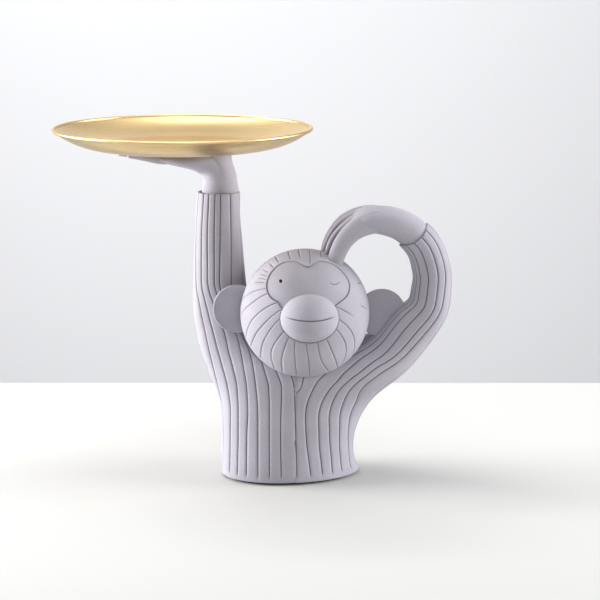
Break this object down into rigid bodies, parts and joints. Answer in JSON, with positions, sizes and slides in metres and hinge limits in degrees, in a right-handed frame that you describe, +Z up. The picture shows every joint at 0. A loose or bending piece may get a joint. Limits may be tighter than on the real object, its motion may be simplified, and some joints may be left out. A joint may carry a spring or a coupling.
{
  "type": "monkey figurine",
  "caption": "Tabletop monkey figure in grooved matte resin; one raised arm holds a round brass-finished dish that unscrews, the other loops over to scratch its head.",
  "frame": {"origin": "centre of the underside of the foot pad", "axes": "+Z up, the figure looks towards -Y, the raised arm with the dish is on the -X side and the looping arm on the +X side"},
  "size_m": [0.3225, 0.21, 0.287],
  "materials": {
    "lilac_grey_resin": "matte cast resin with fine sandy grain",
    "satin_brass": "satin, spun",
    "plain_steel": "plain",
    "insert_brass": "turned",
    "felt": "pressed felt",
    "dowel_beech": "bare beech",
    "ballast_iron": "as cast",
    "pad_rubber": "matte foam rubber"
  },
  "bodies": {
    "figure": {"body_casting": "lilac_grey_resin", "head_casting": "lilac_grey_resin", "ear_tray_side": "lilac_grey_resin", "ear_loop_side": "lilac_grey_resin", "raised_hand": "lilac_grey_resin", "scratching_hand": "lilac_grey_resin", "palm_insert": "insert_brass", "raised_arm_rod": "plain_steel", "looping_arm_rod": "plain_steel", "neck_dowels": "dowel_beech", "ear_dowels": "plain_steel", "crown_dowel": "plain_steel", "ballast_block": "ballast_iron", "base_plate": "plain_steel", "base_screws": "plain_steel", "base_pad": "pad_rubber"},
    "tray_lift": {"tray_washer": "felt"},
    "tray": {"tray_dish": "satin_brass", "tray_boss": "satin_brass", "tray_stud": "plain_steel"}
  },
  "joints": [
    {"name": "tray_rise", "type": "slide", "parent": "figure", "child": "tray_lift", "axis": [0, 0, 1], "range_m": [0, 0.007]},
    {"name": "tray_unscrew", "type": "hinge", "parent": "tray_lift", "child": "tray", "pos_m": [-0.08698, 0.006, 0.2625], "axis": [0, 0, 1], "range_deg": [0, 2520]}
  ],
  "couplings": [
    {"joint": "tray_rise", "follows": "tray_unscrew", "m_per_rad": 0.00015915}
  ]
}
